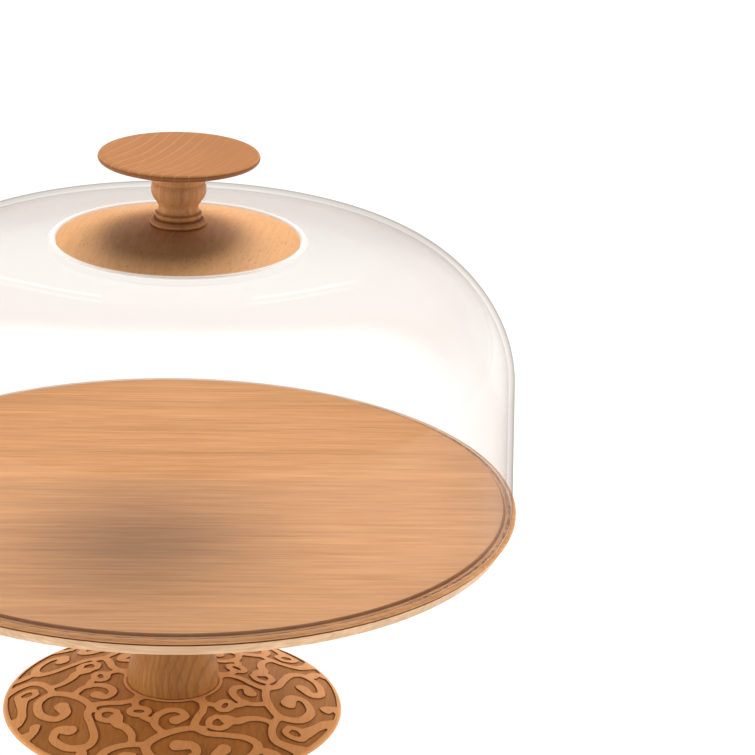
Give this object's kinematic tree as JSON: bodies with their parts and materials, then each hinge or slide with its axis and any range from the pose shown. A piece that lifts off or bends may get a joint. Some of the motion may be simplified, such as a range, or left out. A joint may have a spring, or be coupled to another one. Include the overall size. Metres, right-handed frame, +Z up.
{
  "type": "domed cake stand",
  "caption": "Footed round wooden cake stand with a carved domed base, a flat plate and a clear lift-off dome topped by a turned wooden knob.",
  "frame": {"origin": "middle of the footprint, on the table the stand rests on", "axes": "+Z up along the turning axis of every wooden piece and of the dome; +X and +Y lie in the table's plane, with the plate's grain along X"},
  "size_m": [0.336, 0.336, 0.294],
  "materials": {
    "plate_wood": "satin oiled beech, fine straight grain",
    "turned_wood": "satin oiled beech, darker on the turned stem and neck",
    "base_wood": "carved beech with scorched ground",
    "knob_wood": "satin oiled beech, end rings visible",
    "clear_acrylic": "clear, polished",
    "steel": "bright zinc plated",
    "brass": "turned brass",
    "felt": "pressed wool felt",
    "silicone": "translucent silicone"
  },
  "bodies": {
    "stand": {"base_disc": "base_wood", "foot_pads": "felt", "stem": "turned_wood", "plate": "plate_wood", "tie_bolt": "steel", "tie_washer": "steel", "plate_insert": "brass"},
    "dome": {"dome_shell": "clear_acrylic", "medallion": "knob_wood", "knob_neck": "turned_wood", "knob_disc": "knob_wood", "neck_insert": "brass", "knob_screw": "steel", "knob_washer": "steel", "knob_gasket": "silicone"}
  },
  "joints": [
    {"name": "dome_lift", "type": "slide", "parent": "stand", "child": "dome", "axis": [0, 0, 1], "range_m": [0, 0.22]}
  ]
}
